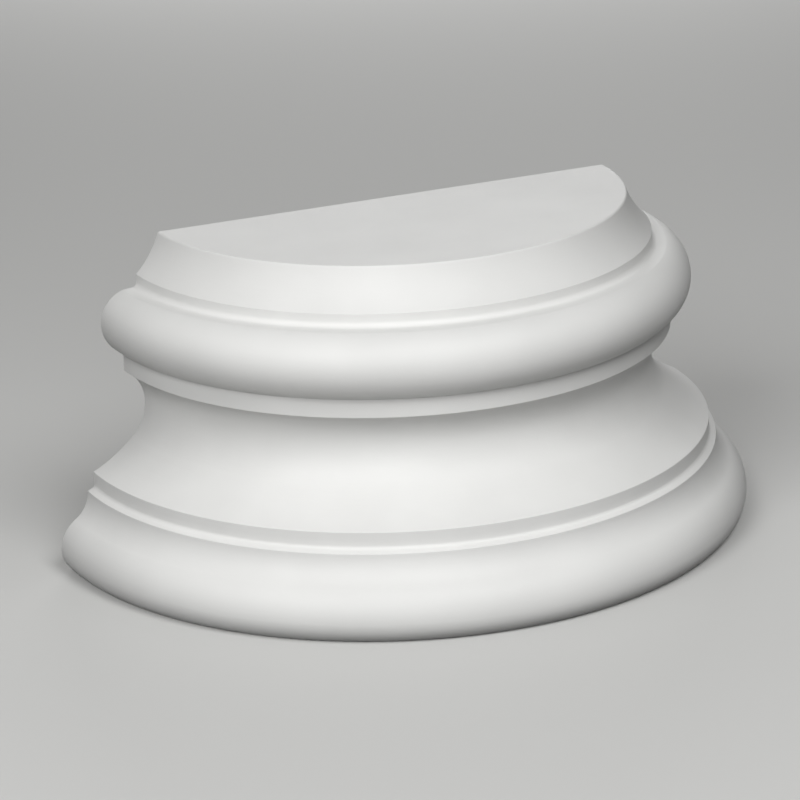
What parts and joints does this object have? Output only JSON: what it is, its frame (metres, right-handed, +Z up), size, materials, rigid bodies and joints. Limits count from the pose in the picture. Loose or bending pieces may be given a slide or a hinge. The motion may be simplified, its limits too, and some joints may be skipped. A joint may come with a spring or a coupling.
{
  "type": "half column base",
  "caption": "Half round Attic column base with cavetto, two torus mouldings, a scotia and fillets, cut flat at the back to stand against a wall.",
  "frame": {"origin": "middle of the underside's bounding box, on the surface that the base stands on", "axes": "+Z up along the column, -Y out from the wall, +X to the right along the wall"},
  "size_m": [0.4478, 0.219, 0.2052],
  "materials": {
    "primed_foam": "matt white primer over moulded rigid foam, ready to paint"
  },
  "bodies": {
    "root": {"half_column_base": "primed_foam"}
  },
  "joints": []
}
